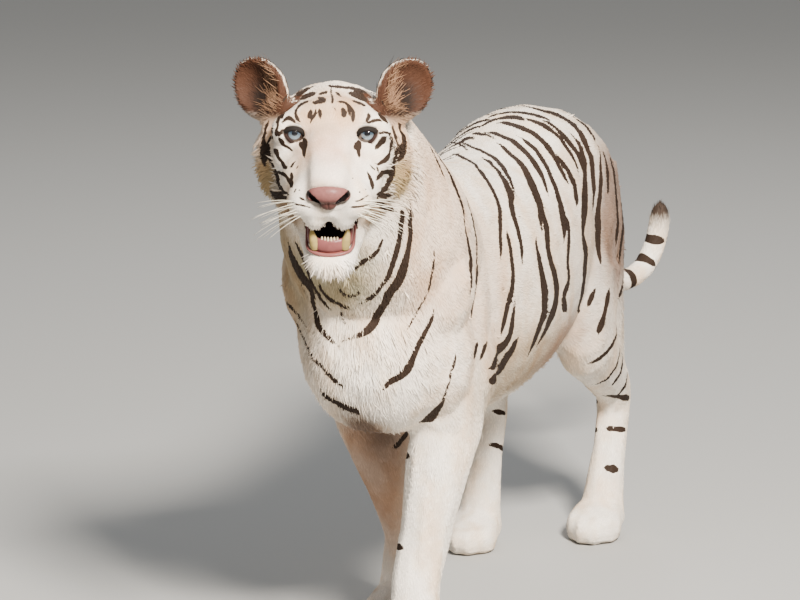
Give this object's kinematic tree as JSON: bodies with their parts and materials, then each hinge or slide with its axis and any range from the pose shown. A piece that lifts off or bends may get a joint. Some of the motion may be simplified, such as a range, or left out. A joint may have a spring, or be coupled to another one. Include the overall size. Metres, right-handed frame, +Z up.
{
  "type": "white tiger model",
  "caption": "Life-size white tiger standing in mid-stride, head turned to its left, mouth a little open and tail tip raised.",
  "frame": {"origin": "middle of the footprint of the whole animal, on the floor", "axes": "+Z up; the body lies along Y with the head towards -Y and the tail towards +Y; +X is the animal's left side"},
  "size_m": [0.3912, 1.9576, 1.1967],
  "materials": {
    "white_coat": "short white to cream coat",
    "ear_fur": "thin brown fur",
    "eye_blue": "wet pale blue eye"
  },
  "bodies": {
    "root": {"head": "white_coat", "lower_jaw": "white_coat", "neck": "white_coat", "trunk": "white_coat", "foreleg_left": "white_coat", "foreleg_right": "white_coat", "forepaw_left": "white_coat", "forepaw_right": "white_coat", "hindleg_left": "white_coat", "hindleg_right": "white_coat", "hindpaw_left": "white_coat", "hindpaw_right": "white_coat", "tail_base": "white_coat", "tail_middle": "white_coat", "tail_tip": "white_coat", "ear_left": "ear_fur", "ear_right": "ear_fur", "eye_left": "eye_blue", "eye_right": "eye_blue"}
  },
  "joints": []
}
